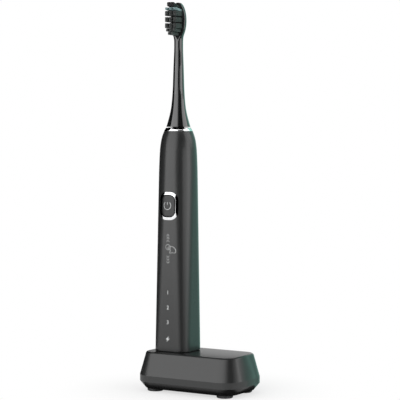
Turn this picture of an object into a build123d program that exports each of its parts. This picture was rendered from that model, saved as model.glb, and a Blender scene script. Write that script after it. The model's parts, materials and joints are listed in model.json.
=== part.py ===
from build123d import *
import os
from math import atan, degrees

# Electric toothbrush standing on its induction charging base.
# The table is Z = 0, the front with the button faces -Y, and the origin is under the
# middle of the base. The brush stands near the left end of the base, on its own axis.

os.makedirs("parts", exist_ok=True)

# ---- charging base ----------------------------------------------------------
base_length = 82.0
base_width = 49.0
base_corner = 14.0          # plan corner radius at the widest line
foot_height = 2.0
undercut_height = 5.2       # tray wall leaning in towards the feet
undercut_inset = 4.4
band_height = 4.5           # upright band round the tray
base_top = 28.0
draft_inset = 4.6           # the top rim stands this far in from the band
rim_radius = 1.7
base_wall = 2.1
floor_thickness = 2.0
band_bottom = foot_height + undercut_height
band_top = band_bottom + band_height
ceiling = base_top - 2.0
floor_top = foot_height + floor_thickness
draft_angle = degrees(atan(draft_inset / (base_top - band_top)))
undercut_angle = degrees(atan(undercut_inset / undercut_height))

foot_radius = 5.75
foot_recess = 0.6
corner_x, corner_y = 28.5, 13.5     # feet, and the screws hidden above them
boss_joint = 9.0            # height where tray and housing bosses meet
screw_head_seat = 5.5
boss_radius = 3.2

pcb_bottom, pcb_thickness = 12.2, 1.2
pcb_top = pcb_bottom + pcb_thickness
pcb_length, pcb_front, pcb_back = 44.0, -14.0, 20.5
stand_x, stand_front, stand_back = 20.0, -12.0, 17.0

usb_width, usb_height = 8.94, 3.26
usb_z = pcb_top + usb_height / 2
usb_face = 22.6             # flat bottom of the recess round the inlet

post_radius = 5.2
post_height = 9.0
post_bore = 4.2
post_top = base_top + post_height

# ---- handle -----------------------------------------------------------------
brush_x = -18.2             # axis of the brush
handle_side = 27.4          # width over the flats
handle_corner = 8.0         # corner radius at the foot of the handle
round_z = 156.0             # height where the section has become a circle
round_radius = 13.6
shell_wall = 1.8
handle_top = 184.6
mouth_radius = 10.2         # outside radius under the chrome collar
mouth_bore = 8.35
lip_z = 179.0               # the inside steps in to the cylindrical mouth here
pocket_top = 44.0           # square pocket for the cap and receiver, round bore above
cap_gap = 0.3               # the cap sits this far up inside the shell

cup_bore = post_radius + 0.4
cup_wall = 1.2
cup_ceiling = post_top + 1.0
cap_top = 31.5

battery_radius, battery_bottom, battery_length = 7.0, 45.0, 49.0
bore_radius = 7.6           # cradle for the cell and the motor
chassis_half = 8.6
chassis_bottom, chassis_top = 40.5, 156.0
rib_radius = 11.2
board_y = -7.7              # front of the cradle, where the circuit board lies
board_thickness = 0.8
board_face = board_y - board_thickness
board_bottom, board_end, board_width = 43.0, 150.0, 15.0

motor_radius, motor_bottom, motor_end = 7.3, 103.0, 152.0
plate_thickness = 1.8
shaft_radius = 1.8
shaft_bottom, shaft_end = 103.0, 206.0
running_gap = 0.05
press_gap = 0.02

# ---- button -----------------------------------------------------------------
button_z = 131.6
bezel_width, bezel_height, bezel_corner = 15.2, 20.0, 5.4
bezel_proud = 0.35          # the ring follows the curve of the handle this far outside it
bezel_slope = 1.5           # and falls off to it over this width
window_width, window_height, window_corner = 10.8, 15.6, 3.2
bezel_back = -10.9
button_gap = 0.2
switch_top = -10.1
plunger_top = -10.75

# ---- brush head -------------------------------------------------------------
collar_height = 2.4
collar_top_radius = 8.9
hub_radius = 7.4
skirt_bottom = 187.6
skirt_radius = 8.7
neck_waist_z, neck_waist = 243.0, 3.2
head_z = 262.6
head_half_width, head_half_height = 6.1, 13.0
head_front, head_back = -1.9, 2.4
bristle_length = 9.8
tuft_width, tuft_pitch = 2.05, 2.5
insert_bottom, insert_top, insert_radius = 192.0, 210.0, 3.35


def at_brush(height):
    """Level plane centred on the brush axis."""
    return Plane(origin=(brush_x, 0, height))


def facing_front(depth, height):
    """Upright plane through the brush axis, its normal towards the user."""
    return Plane(origin=(brush_x, depth, height), x_dir=(1, 0, 0), z_dir=(0, -1, 0))


brush_section = Plane(origin=(brush_x, 0, 0), x_dir=(1, 0, 0), z_dir=(0, -1, 0))


def save(piece, name):
    piece.part.label = name
    export_step(piece.part, f"parts/{name}.step")


# ---- base: tray, feet, screws, weight ----------------------------------------
corner_places = [(x, y) for x in (-corner_x, corner_x) for y in (-corner_y, corner_y)]
stand_places = [(x, y) for x in (-stand_x, stand_x) for y in (stand_front, stand_back)]

with BuildPart() as base_tray:
    with BuildSketch(Plane.XY.offset(band_bottom)):
        RectangleRounded(base_length, base_width, base_corner)
    extrude(amount=band_height)
    with BuildSketch(Plane.XY.offset(band_bottom)):
        RectangleRounded(base_length, base_width, base_corner)
    extrude(amount=-undercut_height, taper=undercut_angle)
    fillet(base_tray.edges().group_by(Axis.Z)[0], radius=0.8)
    # inside: upright wall, then the same lean down to the floor
    cavity_length, cavity_width = base_length - 2 * base_wall, base_width - 2 * base_wall
    cavity_corner = base_corner - base_wall
    with BuildSketch(Plane.XY.offset(band_top)):
        RectangleRounded(cavity_length, cavity_width, cavity_corner)
    extrude(amount=-(band_height - 1), mode=Mode.SUBTRACT)
    with BuildSketch(Plane.XY.offset(band_bottom + 1)):
        RectangleRounded(cavity_length, cavity_width, cavity_corner)
    extrude(amount=-(band_bottom + 1 - floor_top), taper=undercut_angle, mode=Mode.SUBTRACT)
    # lip that centres the housing
    with BuildSketch(Plane.XY.offset(band_top - 1.5)):
        RectangleRounded(cavity_length + 0.4, cavity_width + 0.4, cavity_corner)
        RectangleRounded(cavity_length - 3, cavity_width - 3, cavity_corner - 1.5, mode=Mode.SUBTRACT)
    extrude(amount=1.5)
    with BuildSketch(Plane.XY.offset(band_top)):
        RectangleRounded(cavity_length - 1, cavity_width - 1, cavity_corner - 0.5)
        RectangleRounded(cavity_length - 3, cavity_width - 3, cavity_corner - 1.5, mode=Mode.SUBTRACT)
    extrude(amount=1.3)
    # screw bosses
    with BuildSketch(Plane.XY.offset(floor_top - 0.5)):
        with Locations(*corner_places):
            Circle(boss_radius + 0.6)
    extrude(amount=boss_joint - floor_top + 0.5)
    # stands for the circuit board
    with BuildSketch(Plane.XY.offset(floor_top - 0.5)):
        with Locations(*stand_places):
            Rectangle(3.2, 3.2)
    extrude(amount=pcb_bottom - floor_top + 0.5)
    # pockets for the feet, with the screw holes inside them
    with BuildSketch(Plane.XY.offset(foot_height)):
        with Locations(*corner_places):
            Circle(foot_radius + 0.1)
    extrude(amount=foot_recess, mode=Mode.SUBTRACT)
    with BuildSketch(Plane.XY.offset(foot_height)):
        with Locations(*corner_places):
            Circle(2.9)
    extrude(amount=screw_head_seat - foot_height, mode=Mode.SUBTRACT)
    with BuildSketch(Plane.XY.offset(foot_height)):
        with Locations(*corner_places):
            Circle(1.55)
    extrude(amount=boss_joint - foot_height + 1, mode=Mode.SUBTRACT)
save(base_tray, "base_tray")

with BuildPart() as rubber_feet:
    with BuildSketch(Plane.XY):
        with Locations(*corner_places):
            Circle(foot_radius)
    extrude(amount=foot_height + foot_recess)
    chamfer(rubber_feet.edges().group_by(Axis.Z)[0], length=0.5)
save(rubber_feet, "rubber_feet")

with BuildPart() as base_screws:
    with BuildSketch(Plane.XY.offset(screw_head_seat)):
        with Locations(*corner_places):
            Circle(2.6)
    extrude(amount=-2)
    with BuildSketch(Plane.XY.offset(screw_head_seat)):
        with Locations(*corner_places):
            Circle(1.25)
    extrude(amount=12)
save(base_screws, "base_screws")

with BuildPart() as ballast_plate:
    with BuildSketch(Plane.XY.offset(floor_top)):
        RectangleRounded(34, 21, 3)
    extrude(amount=3)
    chamfer(ballast_plate.edges().group_by(Axis.Z)[-1], length=0.5)
save(ballast_plate, "ballast_plate")

# ---- base: drafted housing with the hollow charging post ---------------------
with BuildPart() as base_housing:
    with BuildSketch(Plane.XY.offset(band_top)):
        RectangleRounded(base_length, base_width, base_corner)
    extrude(amount=base_top - band_top, taper=draft_angle)
    fillet(base_housing.edges().group_by(Axis.Z)[-1], radius=rim_radius)
    with BuildSketch(Plane.XY.offset(band_top)):
        RectangleRounded(cavity_length, cavity_width, cavity_corner)
    extrude(amount=ceiling - band_top, taper=draft_angle, mode=Mode.SUBTRACT)
    # hollow post for the transmitter core
    with BuildSketch(at_brush(ceiling - 3)):
        Circle(post_radius)
    extrude(amount=post_top - ceiling + 3)
    fillet(base_housing.edges().group_by(Axis.Z)[-1], radius=1.2)
    with BuildSketch(at_brush(ceiling - 4)):
        Circle(post_bore)
    extrude(amount=post_top - 1 - ceiling + 4, mode=Mode.SUBTRACT)
    # bosses for the four screws
    with BuildSketch(Plane.XY.offset(boss_joint)):
        with Locations(*corner_places):
            Circle(boss_radius)
    extrude(amount=ceiling - boss_joint + 0.5)
    with BuildSketch(Plane.XY.offset(boss_joint)):
        with Locations(*corner_places):
            Circle(1.3)
    extrude(amount=10, mode=Mode.SUBTRACT)
    # stiffening ribs under the ceiling
    with BuildSketch(Plane.XY.offset(ceiling - 2.5)):
        with Locations((12, 0)):
            Rectangle(1.4, base_width - 22)
        with Locations((8, 0)):
            Rectangle(32, 1.4)
    extrude(amount=3)
    # recess and slot for the power inlet
    inlet_plane = Plane(origin=(0, usb_face, usb_z), x_dir=(-1, 0, 0), z_dir=(0, 1, 0))
    with BuildSketch(inlet_plane):
        RectangleRounded(12.4, 6.2, 2.9)
    extrude(amount=4, mode=Mode.SUBTRACT)
    with BuildSketch(inlet_plane):
        RectangleRounded(usb_width + 0.4, usb_height + 0.4, 1.5)
    extrude(amount=-4, mode=Mode.SUBTRACT)
save(base_housing, "base_housing")

# ---- base: electronics --------------------------------------------------------
with BuildPart() as charger_pcb:
    with BuildSketch(Plane.XY.offset(pcb_bottom)):
        with Locations((0, (pcb_front + pcb_back) / 2)):
            Rectangle(pcb_length, pcb_back - pcb_front)
    extrude(amount=pcb_thickness)
    with BuildSketch(Plane.XY.offset(pcb_top)):
        with Locations((9, -3)):
            Rectangle(7, 7)
        with Locations((17.5, 6)):
            Circle(3)
        with Locations((-8, 8)):
            Rectangle(4, 5)
    extrude(amount=2)
save(charger_pcb, "charger_pcb")

with BuildPart() as usb_shell:
    with BuildSketch(inlet_plane.offset(-0.2)):
        RectangleRounded(usb_width, usb_height, 1.3)
        RectangleRounded(usb_width - 0.6, usb_height - 0.6, 1.0, mode=Mode.SUBTRACT)
    extrude(amount=-7)
    with BuildSketch(inlet_plane.offset(-6.7)):
        RectangleRounded(usb_width - 0.5, usb_height - 0.5, 1.0)
    extrude(amount=-0.5)
save(usb_shell, "usb_shell")

with BuildPart() as usb_tongue:
    with BuildSketch(inlet_plane.offset(-1.2)):
        Rectangle(6.7, 0.7)
    extrude(amount=-5.5)
save(usb_tongue, "usb_tongue")

coil_floor = pcb_top
rod_top = post_top - 1.4
with BuildPart() as transmitter_core:
    with BuildSketch(at_brush(coil_floor + 0.4)):
        Circle(2.2)
    extrude(amount=rod_top - coil_floor - 0.4)
save(transmitter_core, "transmitter_core")

with BuildPart() as transmitter_bobbin:
    with BuildSketch(at_brush(coil_floor)):
        Circle(2.8)
    extrude(amount=rod_top - coil_floor)
    with BuildSketch(at_brush(coil_floor), at_brush(rod_top - 0.8)):
        Circle(post_bore - 0.2)
    extrude(amount=0.8)
    with BuildSketch(at_brush(coil_floor)):
        Circle(2.25)
    extrude(amount=rod_top - coil_floor, mode=Mode.SUBTRACT)
save(transmitter_bobbin, "transmitter_bobbin")

with BuildPart() as transmitter_coil:
    with BuildSketch(at_brush(coil_floor + 0.85)):
        Circle(post_bore - 0.35)
        Circle(2.85, mode=Mode.SUBTRACT)
    extrude(amount=rod_top - coil_floor - 1.7)
save(transmitter_coil, "transmitter_coil")


# ---- handle shell --------------------------------------------------------------
def handle_form(grow, bottom):
    """Solid of the handle grown by an offset: a rounded square blending to a circle."""
    with BuildPart() as form:
        with BuildSketch(at_brush(bottom)):
            RectangleRounded(handle_side + 2 * grow, handle_side + 2 * grow, handle_corner + grow)
        with BuildSketch(at_brush(round_z)):
            RectangleRounded(2 * (round_radius + grow), 2 * (round_radius + grow), round_radius + grow - 0.06)
        loft(ruled=True)
    return form.part


def front_rim(piece):
    """Edges round a curved front face, without the two upright seams in it."""
    return piece.edges().filter_by(GeomType.BSPLINE).filter_by(lambda edge: edge.length < 10)


pocket_side = handle_side - 2 * shell_wall
with BuildPart() as handle_shell:
    add(handle_form(0, base_top))
    fillet(handle_shell.edges().group_by(Axis.Z)[0], radius=0.8)
    # shoulder closing in to the mouth under the collar
    with BuildSketch(brush_section):
        with BuildLine():
            shoulder = Spline(
                (round_radius, round_z), (13.05, 169.8), (12.05, 178.3), (mouth_radius, handle_top),
                tangents=((-0.015, 1), (-0.75, 1)),
            )
            Polyline(shoulder @ 1, (0, handle_top), (0, round_z), shoulder @ 0)
        make_face()
    revolve(axis=Axis((brush_x, 0, 0), (0, 0, 1)))
    # inside: square pocket at the foot, then a round bore narrowing to the mouth
    with BuildSketch(at_brush(base_top)):
        RectangleRounded(pocket_side, pocket_side, handle_corner - shell_wall)
    extrude(amount=pocket_top - base_top, mode=Mode.SUBTRACT)
    with BuildSketch(brush_section):
        Polygon(
            (0, pocket_top), (pocket_side / 2, pocket_top), (pocket_side / 2, 165.0), (10.9, 174.0),
            (9.9, lip_z), (mouth_bore, lip_z), (mouth_bore, handle_top), (0, handle_top), align=None,
        )
    revolve(axis=Axis((brush_x, 0, 0), (0, 0, 1)), mode=Mode.SUBTRACT)
    # window for the button
    with BuildSketch(facing_front(-8.8, button_z)):
        RectangleRounded(bezel_width + 0.1, bezel_height + 0.1, bezel_corner + 0.05)
    extrude(amount=8, mode=Mode.SUBTRACT)
save(handle_shell, "handle_shell")

# ---- handle foot: cap, seal and receiver -----------------------------------------
with BuildPart() as bottom_cap:
    cap_side = pocket_side - 0.3
    cap_corner = handle_corner - shell_wall - 0.15
    with BuildSketch(at_brush(base_top + cap_gap)):
        RectangleRounded(cap_side, cap_side, cap_corner)
    extrude(amount=cap_top - base_top - cap_gap)
    with BuildSketch(at_brush(base_top + 1.3)):
        RectangleRounded(cap_side + 1, cap_side + 1, cap_corner)
        RectangleRounded(cap_side - 1.6, cap_side - 1.6, cap_corner - 0.8, mode=Mode.SUBTRACT)
    extrude(amount=1.2, mode=Mode.SUBTRACT)
    with BuildSketch(at_brush(cap_top - 0.5)):
        Circle(cup_bore + cup_wall)
    extrude(amount=cup_ceiling + cup_wall - cap_top + 0.5)
    with BuildSketch(at_brush(base_top + cap_gap)):
        Circle(cup_bore)
    extrude(amount=cup_ceiling - base_top - cap_gap, mode=Mode.SUBTRACT)
    chamfer(
        bottom_cap.edges().filter_by(GeomType.CIRCLE).group_by(Axis.Z)[0].sort_by(SortBy.RADIUS)[0], length=0.5
    )
    # two clip arms reaching up to the chassis
    with BuildSketch(at_brush(cap_top - 0.5)):
        with Locations((-10.8, 0), (10.8, 0)):
            Rectangle(1.0, 6)
    extrude(amount=chassis_bottom - cap_top + 0.4)
save(bottom_cap, "bottom_cap")

with BuildPart() as cap_seal:
    with BuildSketch(at_brush(base_top + 1.4)):
        RectangleRounded(cap_side + 0.2, cap_side + 0.2, cap_corner + 0.1)
        RectangleRounded(cap_side - 1.5, cap_side - 1.5, cap_corner - 0.75, mode=Mode.SUBTRACT)
    extrude(amount=1.0)
save(cap_seal, "cap_seal")

receiver_top = cup_ceiling + cup_wall - 0.2
with BuildPart() as receiver_bobbin:
    with BuildSketch(at_brush(cap_top)):
        Circle(7.6)
    extrude(amount=receiver_top - cap_top)
    with BuildSketch(at_brush(cap_top), at_brush(receiver_top - 0.8)):
        Circle(10.0)
    extrude(amount=0.8)
    with BuildSketch(at_brush(cap_top)):
        Circle(cup_bore + cup_wall + 0.05)
    extrude(amount=receiver_top - cap_top, mode=Mode.SUBTRACT)
save(receiver_bobbin, "receiver_bobbin")

with BuildPart() as receiver_coil:
    with BuildSketch(at_brush(cap_top + 0.85)):
        Circle(9.7)
        Circle(7.65, mode=Mode.SUBTRACT)
    extrude(amount=receiver_top - cap_top - 1.7)
save(receiver_coil, "receiver_coil")

# ---- handle: chassis, cell and circuit board ---------------------------------------
rib_heights = [chassis_bottom, 68.0, 98.0, 127.0, chassis_top - 2.4]
with BuildPart() as inner_chassis:
    with BuildSketch(at_brush(chassis_bottom)):
        Circle(chassis_half)
        with Locations((0, board_y / 2)):
            Rectangle(2 * chassis_half, -board_y)
        with Locations((0, board_y - 10)):
            Rectangle(30, 20, mode=Mode.SUBTRACT)
    extrude(amount=chassis_top - chassis_bottom)
    for rib_z in rib_heights:
        with BuildSketch(at_brush(rib_z)):
            Circle(rib_radius)
            with Locations((0, board_y - 10)):
                Rectangle(30, 20, mode=Mode.SUBTRACT)
        extrude(amount=2.4)
    # cradles for the cell and for the motor, open to the front
    cell_floor = battery_bottom - 0.6
    for low, high in ((cell_floor, 97.0), (motor_bottom - 0.4, motor_end + 0.1)):
        with BuildSketch(at_brush(low)):
            Circle(bore_radius)
            with Locations((0, board_y / 2)):
                Rectangle(11, -board_y)
        extrude(amount=high - low, mode=Mode.SUBTRACT)
    # weight-saving windows through the back of the cradle
    for window_z in (57.5, 84.0, 114.5, 141.0):
        with BuildSketch(facing_front(12, window_z)):
            Rectangle(7, 13)
        extrude(amount=12, mode=Mode.SUBTRACT)
    # shaft hole and motor screw holes through the top wall
    with BuildSketch(at_brush(motor_end)):
        Circle(3.6)
        with PolarLocations(5.0, 2, start_angle=90):
            Circle(0.75)
    extrude(amount=chassis_top - motor_end, mode=Mode.SUBTRACT)
    # wire passage between cell and motor
    with BuildSketch(at_brush(96)):
        with Locations((0, -5.2)):
            Rectangle(6, 5.2)
    extrude(amount=8, mode=Mode.SUBTRACT)
save(inner_chassis, "inner_chassis")

with BuildPart() as battery_cell:
    with BuildSketch(at_brush(battery_bottom)):
        Circle(battery_radius)
    extrude(amount=battery_length)
    chamfer(battery_cell.edges().filter_by(GeomType.CIRCLE), length=0.6)
    with BuildSketch(at_brush(battery_bottom + battery_length)):
        Circle(2.7)
    extrude(amount=1.2)
save(battery_cell, "battery_cell")

with BuildPart() as battery_tabs:
    for tab_z in (battery_bottom - 0.4, battery_bottom + battery_length + 1.3):
        with BuildSketch(at_brush(tab_z)):
            with Locations((0, -1.2)):
                Rectangle(4, 9)
        extrude(amount=0.3)
save(battery_tabs, "battery_tabs")

with BuildPart() as main_pcb:
    with BuildSketch(facing_front(board_y, (board_bottom + board_end) / 2)):
        RectangleRounded(board_width, board_end - board_bottom, 1.0)
    extrude(amount=board_thickness)
    with BuildSketch(facing_front(board_face, 82)):
        RectangleRounded(5, 5, 0.3)
    extrude(amount=0.9)
save(main_pcb, "main_pcb")

led_heights = [48.2, 58.5, 69.0]
with BuildPart() as led_chips:
    for led_z in led_heights:
        with BuildSketch(facing_front(board_face, led_z)):
            Rectangle(2.0, 1.2)
        extrude(amount=0.7)
save(led_chips, "led_chips")

with BuildPart() as light_guide:
    with BuildSketch(facing_front(board_face - 0.8, (led_heights[0] + led_heights[-1]) / 2)):
        Rectangle(7, led_heights[-1] - led_heights[0] + 6)
    extrude(amount=1.4)
    for led_z in led_heights:
        with BuildSketch(facing_front(board_face - 2.2, led_z)):
            Rectangle(5.5, 3.2)
        extrude(amount=0.7)
save(light_guide, "light_guide")

# ---- handle: sonic motor ---------------------------------------------------------
with BuildPart() as motor_can:
    with BuildSketch(at_brush(motor_bottom)):
        Circle(motor_radius)
        Circle(motor_radius - 0.5, mode=Mode.SUBTRACT)
    extrude(amount=motor_end - motor_bottom)
    with BuildSketch(facing_front(9, (motor_bottom + motor_end) / 2)):
        Rectangle(5, 22)
    extrude(amount=18, mode=Mode.SUBTRACT)
save(motor_can, "motor_can")

plate_heights = [motor_bottom + 0.2, motor_end - plate_thickness - 0.2]
with BuildPart() as motor_end_plates:
    for plate_z in plate_heights:
        with BuildSketch(at_brush(plate_z)):
            Circle(motor_radius - 0.55)
            Circle(3.05, mode=Mode.SUBTRACT)
        extrude(amount=plate_thickness)
    # holes for the two motor screws
    with BuildSketch(at_brush(plate_heights[1])):
        with PolarLocations(5.0, 2, start_angle=90):
            Circle(0.7)
    extrude(amount=plate_thickness, mode=Mode.SUBTRACT)
save(motor_end_plates, "motor_end_plates")

with BuildPart() as shaft_bushes:
    for plate_z in plate_heights:
        with BuildSketch(at_brush(plate_z - 0.4)):
            Circle(3.0)
            Circle(shaft_radius + running_gap, mode=Mode.SUBTRACT)
        extrude(amount=plate_thickness + 0.4)
save(shaft_bushes, "shaft_bushes")

stator_low, stator_high = 110.0, 141.0
with BuildPart() as stator_core:
    with BuildSketch(at_brush(stator_low)):
        Circle(motor_radius - 0.6)
        Circle(5.9, mode=Mode.SUBTRACT)
        with PolarLocations(5.4, 4, start_angle=45):
            Rectangle(1.6, 3.2)
        Circle(4.75, mode=Mode.SUBTRACT)
    extrude(amount=stator_high - stator_low)
save(stator_core, "stator_core")

with BuildPart() as stator_coils:
    with BuildSketch(at_brush(stator_low - 1)):
        with PolarLocations(5.25, 4):
            Rectangle(0.9, 3.0)
    extrude(amount=stator_high - stator_low + 2)
save(stator_coils, "stator_coils")

with BuildPart() as motor_screws:
    for side in (-1, 1):
        with BuildSketch(Plane(origin=(brush_x, side * 5.0, chassis_top))):
            Circle(1.4)
        extrude(amount=1.0)
        with BuildSketch(Plane(origin=(brush_x, side * 5.0, chassis_top))):
            Circle(0.65)
        extrude(amount=plate_heights[1] - chassis_top)
save(motor_screws, "motor_screws")

# ---- handle: nose, seals and chrome collar ------------------------------------------
collar_top = handle_top + collar_height
hub_top = collar_top + 0.2
seal_floor = 181.0
with BuildPart() as nose_hub:
    with BuildSketch(brush_section):
        Polygon(
            (2.5, chassis_top + 1.4), (8.0, chassis_top + 1.4), (8.0, 174.0), (9.4, 174.0), (9.4, 177.5),
            (mouth_bore - 0.15, 177.5), (mouth_bore - 0.15, handle_top), (hub_radius, handle_top),
            (hub_radius, hub_top), (5.0, hub_top), (5.0, seal_floor), (2.5, seal_floor), align=None,
        )
    revolve(axis=Axis((brush_x, 0, 0), (0, 0, 1)))
    with BuildSketch(at_brush(181.4)):
        Circle(mouth_bore + 1)
        Circle(6.7, mode=Mode.SUBTRACT)
    extrude(amount=1.6, mode=Mode.SUBTRACT)
save(nose_hub, "nose_hub")

with BuildPart() as nose_seal:
    with BuildSketch(brush_section):
        with Locations((7.52, 182.2)):
            RegularPolygon(radius=0.8, side_count=6)
    revolve(axis=Axis((brush_x, 0, 0), (0, 0, 1)))
save(nose_seal, "nose_seal")

with BuildPart() as shaft_seal:
    with BuildSketch(brush_section):
        with BuildLine():
            Polyline(
                (shaft_radius + 0.1, seal_floor), (4.9, seal_floor), (4.9, hub_top), (4.2, hub_top),
                (4.2, 188.0), (3.0, 188.6), (3.0, 190.2), (shaft_radius + 0.1, 190.8), close=True,
            )
        make_face()
    revolve(axis=Axis((brush_x, 0, 0), (0, 0, 1)))
save(shaft_seal, "shaft_seal")

with BuildPart() as chrome_collar:
    with BuildSketch(brush_section):
        Polygon(
            (hub_radius + 0.05, handle_top), (mouth_radius, handle_top), (mouth_radius, handle_top + 0.3),
            (collar_top_radius, collar_top), (hub_radius + 0.05, collar_top), align=None,
        )
    revolve(axis=Axis((brush_x, 0, 0), (0, 0, 1)))
save(chrome_collar, "chrome_collar")

# ---- button group ----------------------------------------------------------------
with BuildPart() as button_bezel:
    with BuildSketch(facing_front(bezel_back, button_z)):
        RectangleRounded(bezel_width, bezel_height, bezel_corner)
    extrude(amount=5)
    add(handle_form(bezel_proud, base_top), mode=Mode.INTERSECT)
    chamfer(front_rim(button_bezel), length=bezel_proud - 0.05, length2=bezel_slope)
    with BuildSketch(facing_front(bezel_back, button_z)):
        RectangleRounded(window_width, window_height, window_corner)
    extrude(amount=5, mode=Mode.SUBTRACT)
save(button_bezel, "button_bezel")

with BuildPart() as button_gasket:
    with BuildSketch(facing_front(bezel_back + 0.6, button_z)):
        RectangleRounded(12.4, 17.4, 5.5)
        RectangleRounded(5.4, 9.4, 2.5, mode=Mode.SUBTRACT)
    extrude(amount=0.6)
save(button_gasket, "button_gasket")

button_back = -11.5
with BuildPart() as power_button:
    with BuildSketch(facing_front(button_back, button_z)):
        RectangleRounded(window_width - 2 * button_gap, window_height - 2 * button_gap, window_corner - button_gap)
    extrude(amount=5)
    add(handle_form(0.05, base_top), mode=Mode.INTERSECT)
    chamfer(front_rim(power_button), length=0.3)
    with BuildSketch(facing_front(plunger_top, button_z)):
        Circle(1.5)
    extrude(amount=plunger_top - button_back + 0.3)
save(power_button, "power_button")

with BuildPart() as tact_switch:
    with BuildSketch(facing_front(board_face, button_z)):
        RectangleRounded(6.2, 6.2, 0.5)
    extrude(amount=board_face - switch_top)
    with BuildSketch(facing_front(board_face - 0.15, button_z)):
        Circle(1.1)
    extrude(amount=3, mode=Mode.SUBTRACT)
save(tact_switch, "tact_switch")

with BuildPart() as switch_plunger:
    with BuildSketch(facing_front(plunger_top, button_z)):
        Circle(1.0)
    extrude(amount=-1.45)
save(switch_plunger, "switch_plunger")

# ---- swinging shaft with its rotor ---------------------------------------------------
with BuildPart() as drive_shaft:
    with BuildSketch(at_brush(shaft_bottom)):
        Circle(shaft_radius)
    extrude(amount=shaft_end - shaft_bottom)
    chamfer(drive_shaft.edges().group_by(Axis.Z)[-1], length=0.4)
    with BuildSketch(at_brush(shaft_end - 13)):
        with Locations((0, 2.25)):
            Rectangle(6, 2)
    extrude(amount=14, mode=Mode.SUBTRACT)
save(drive_shaft, "drive_shaft")

rotor_low, rotor_high = 112.0, 139.0
with BuildPart() as rotor_yoke:
    with BuildSketch(at_brush(rotor_low)):
        Circle(3.3)
        Circle(shaft_radius + press_gap, mode=Mode.SUBTRACT)
    extrude(amount=rotor_high - rotor_low)
save(rotor_yoke, "rotor_yoke")

with BuildPart() as rotor_magnets:
    with BuildSketch(at_brush(rotor_low + 0.5)):
        Circle(4.35)
        Circle(3.3 + press_gap, mode=Mode.SUBTRACT)
        for turn in (45, 135):
            Rectangle(12, 1.2, rotation=turn, mode=Mode.SUBTRACT)
    extrude(amount=rotor_high - rotor_low - 1)
save(rotor_magnets, "rotor_magnets")

with BuildPart() as return_spring:
    with BuildSketch(at_brush(143.0)):
        Circle(3.1)
        for turn in (0, 90):
            Rectangle(12.4, 0.5, rotation=turn)
        Circle(shaft_radius + press_gap, mode=Mode.SUBTRACT)
    extrude(amount=5)
save(return_spring, "return_spring")

# ---- brush head -----------------------------------------------------------------------
with BuildPart() as brush_neck:
    # oval plate with a domed back
    with BuildSketch(facing_front(head_back, head_z)):
        Ellipse(head_half_width, head_half_height)
    extrude(amount=head_back - head_front)
    fillet(brush_neck.edges().sort_by(Axis.Y)[-1], radius=2.2)
    fillet(brush_neck.edges().sort_by(Axis.Y)[0], radius=0.9)
    with BuildSketch(brush_section):
        with BuildLine():
            flare = Spline(
                (skirt_radius, skirt_bottom), (7.1, 192.3), (5.32, 201.0), (4.2, 213.8), (3.72, 229.0),
                (neck_waist, neck_waist_z),
                tangents=((-0.42, 1), (0, 1)),
            )
            Polyline(flare @ 1, (0, neck_waist_z), (0, skirt_bottom), flare @ 0)
        make_face()
    revolve(axis=Axis((brush_x, 0, 0), (0, 0, 1)))
    # throat where the neck flattens into the head
    with BuildSketch(at_brush(neck_waist_z)):
        Circle(neck_waist)
    with BuildSketch(Plane(origin=(brush_x, -0.05, 247.5))):
        Ellipse(3.3, 2.75)
    with BuildSketch(Plane(origin=(brush_x, 0.25, 252.0))):
        Ellipse(3.9, 1.9)
    loft()
    # hollow skirt and socket bore
    with BuildSketch(brush_section):
        Polygon(
            (0, skirt_bottom), (skirt_radius - 1.2, skirt_bottom), (insert_radius + 0.05, 197.0),
            (insert_radius + 0.05, insert_top + 0.1), (0, insert_top + 0.1), align=None,
        )
    revolve(axis=Axis((brush_x, 0, 0), (0, 0, 1)), mode=Mode.SUBTRACT)
save(brush_neck, "brush_neck")

with BuildPart() as neck_insert:
    with BuildSketch(at_brush(insert_bottom)):
        Circle(insert_radius)
    extrude(amount=insert_top - insert_bottom)
    with BuildSketch(at_brush(insert_bottom)):
        Circle(shaft_radius + running_gap)
    extrude(amount=shaft_end - insert_bottom + 0.6, mode=Mode.SUBTRACT)
    with BuildSketch(at_brush(insert_bottom)):
        with Locations((0, 2.3)):
            Rectangle(2.6, 0.9)
    extrude(amount=12, mode=Mode.SUBTRACT)
save(neck_insert, "neck_insert")

with BuildPart() as shaft_clip:
    with BuildSketch(at_brush(insert_bottom + 0.5)):
        with Locations((0, 2.35)):
            Rectangle(2.4, 0.5)
    extrude(amount=11)
save(shaft_clip, "shaft_clip")


# Rows of bristle tufts: columns, height at the root, height at the tip, size along Z
tuft_groups = {
    "tip_bristles": [(3, 272.35, 273.5, 2.4), (3, 270.1, 270.8, 1.9)],
    "field_bristles": [(4, row_z, row_z, 3.2) for row_z in (267.5, 263.1, 258.7)],
    "heel_bristles": [(3, 255.7, 255.9, 2.1), (2, 253.3, 253.6, 1.9)],
}
for group_name, rows in tuft_groups.items():
    with BuildPart() as tufts:
        for columns, root_z, tip_z, height in rows:
            for column in range(columns):
                across = (column - (columns - 1) / 2) * tuft_pitch
                for depth, level in ((head_front, root_z), (head_front - bristle_length, tip_z)):
                    with BuildSketch(facing_front(depth, level)) as tuft:
                        with Locations((across, 0)):
                            Rectangle(tuft_width, height)
                        chamfer(tuft.vertices(), length=0.4)
                loft(ruled=True)
    save(tufts, group_name)
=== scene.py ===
import json
import math
import random

import bmesh
import bpy
from mathutils import Matrix, Vector

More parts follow.
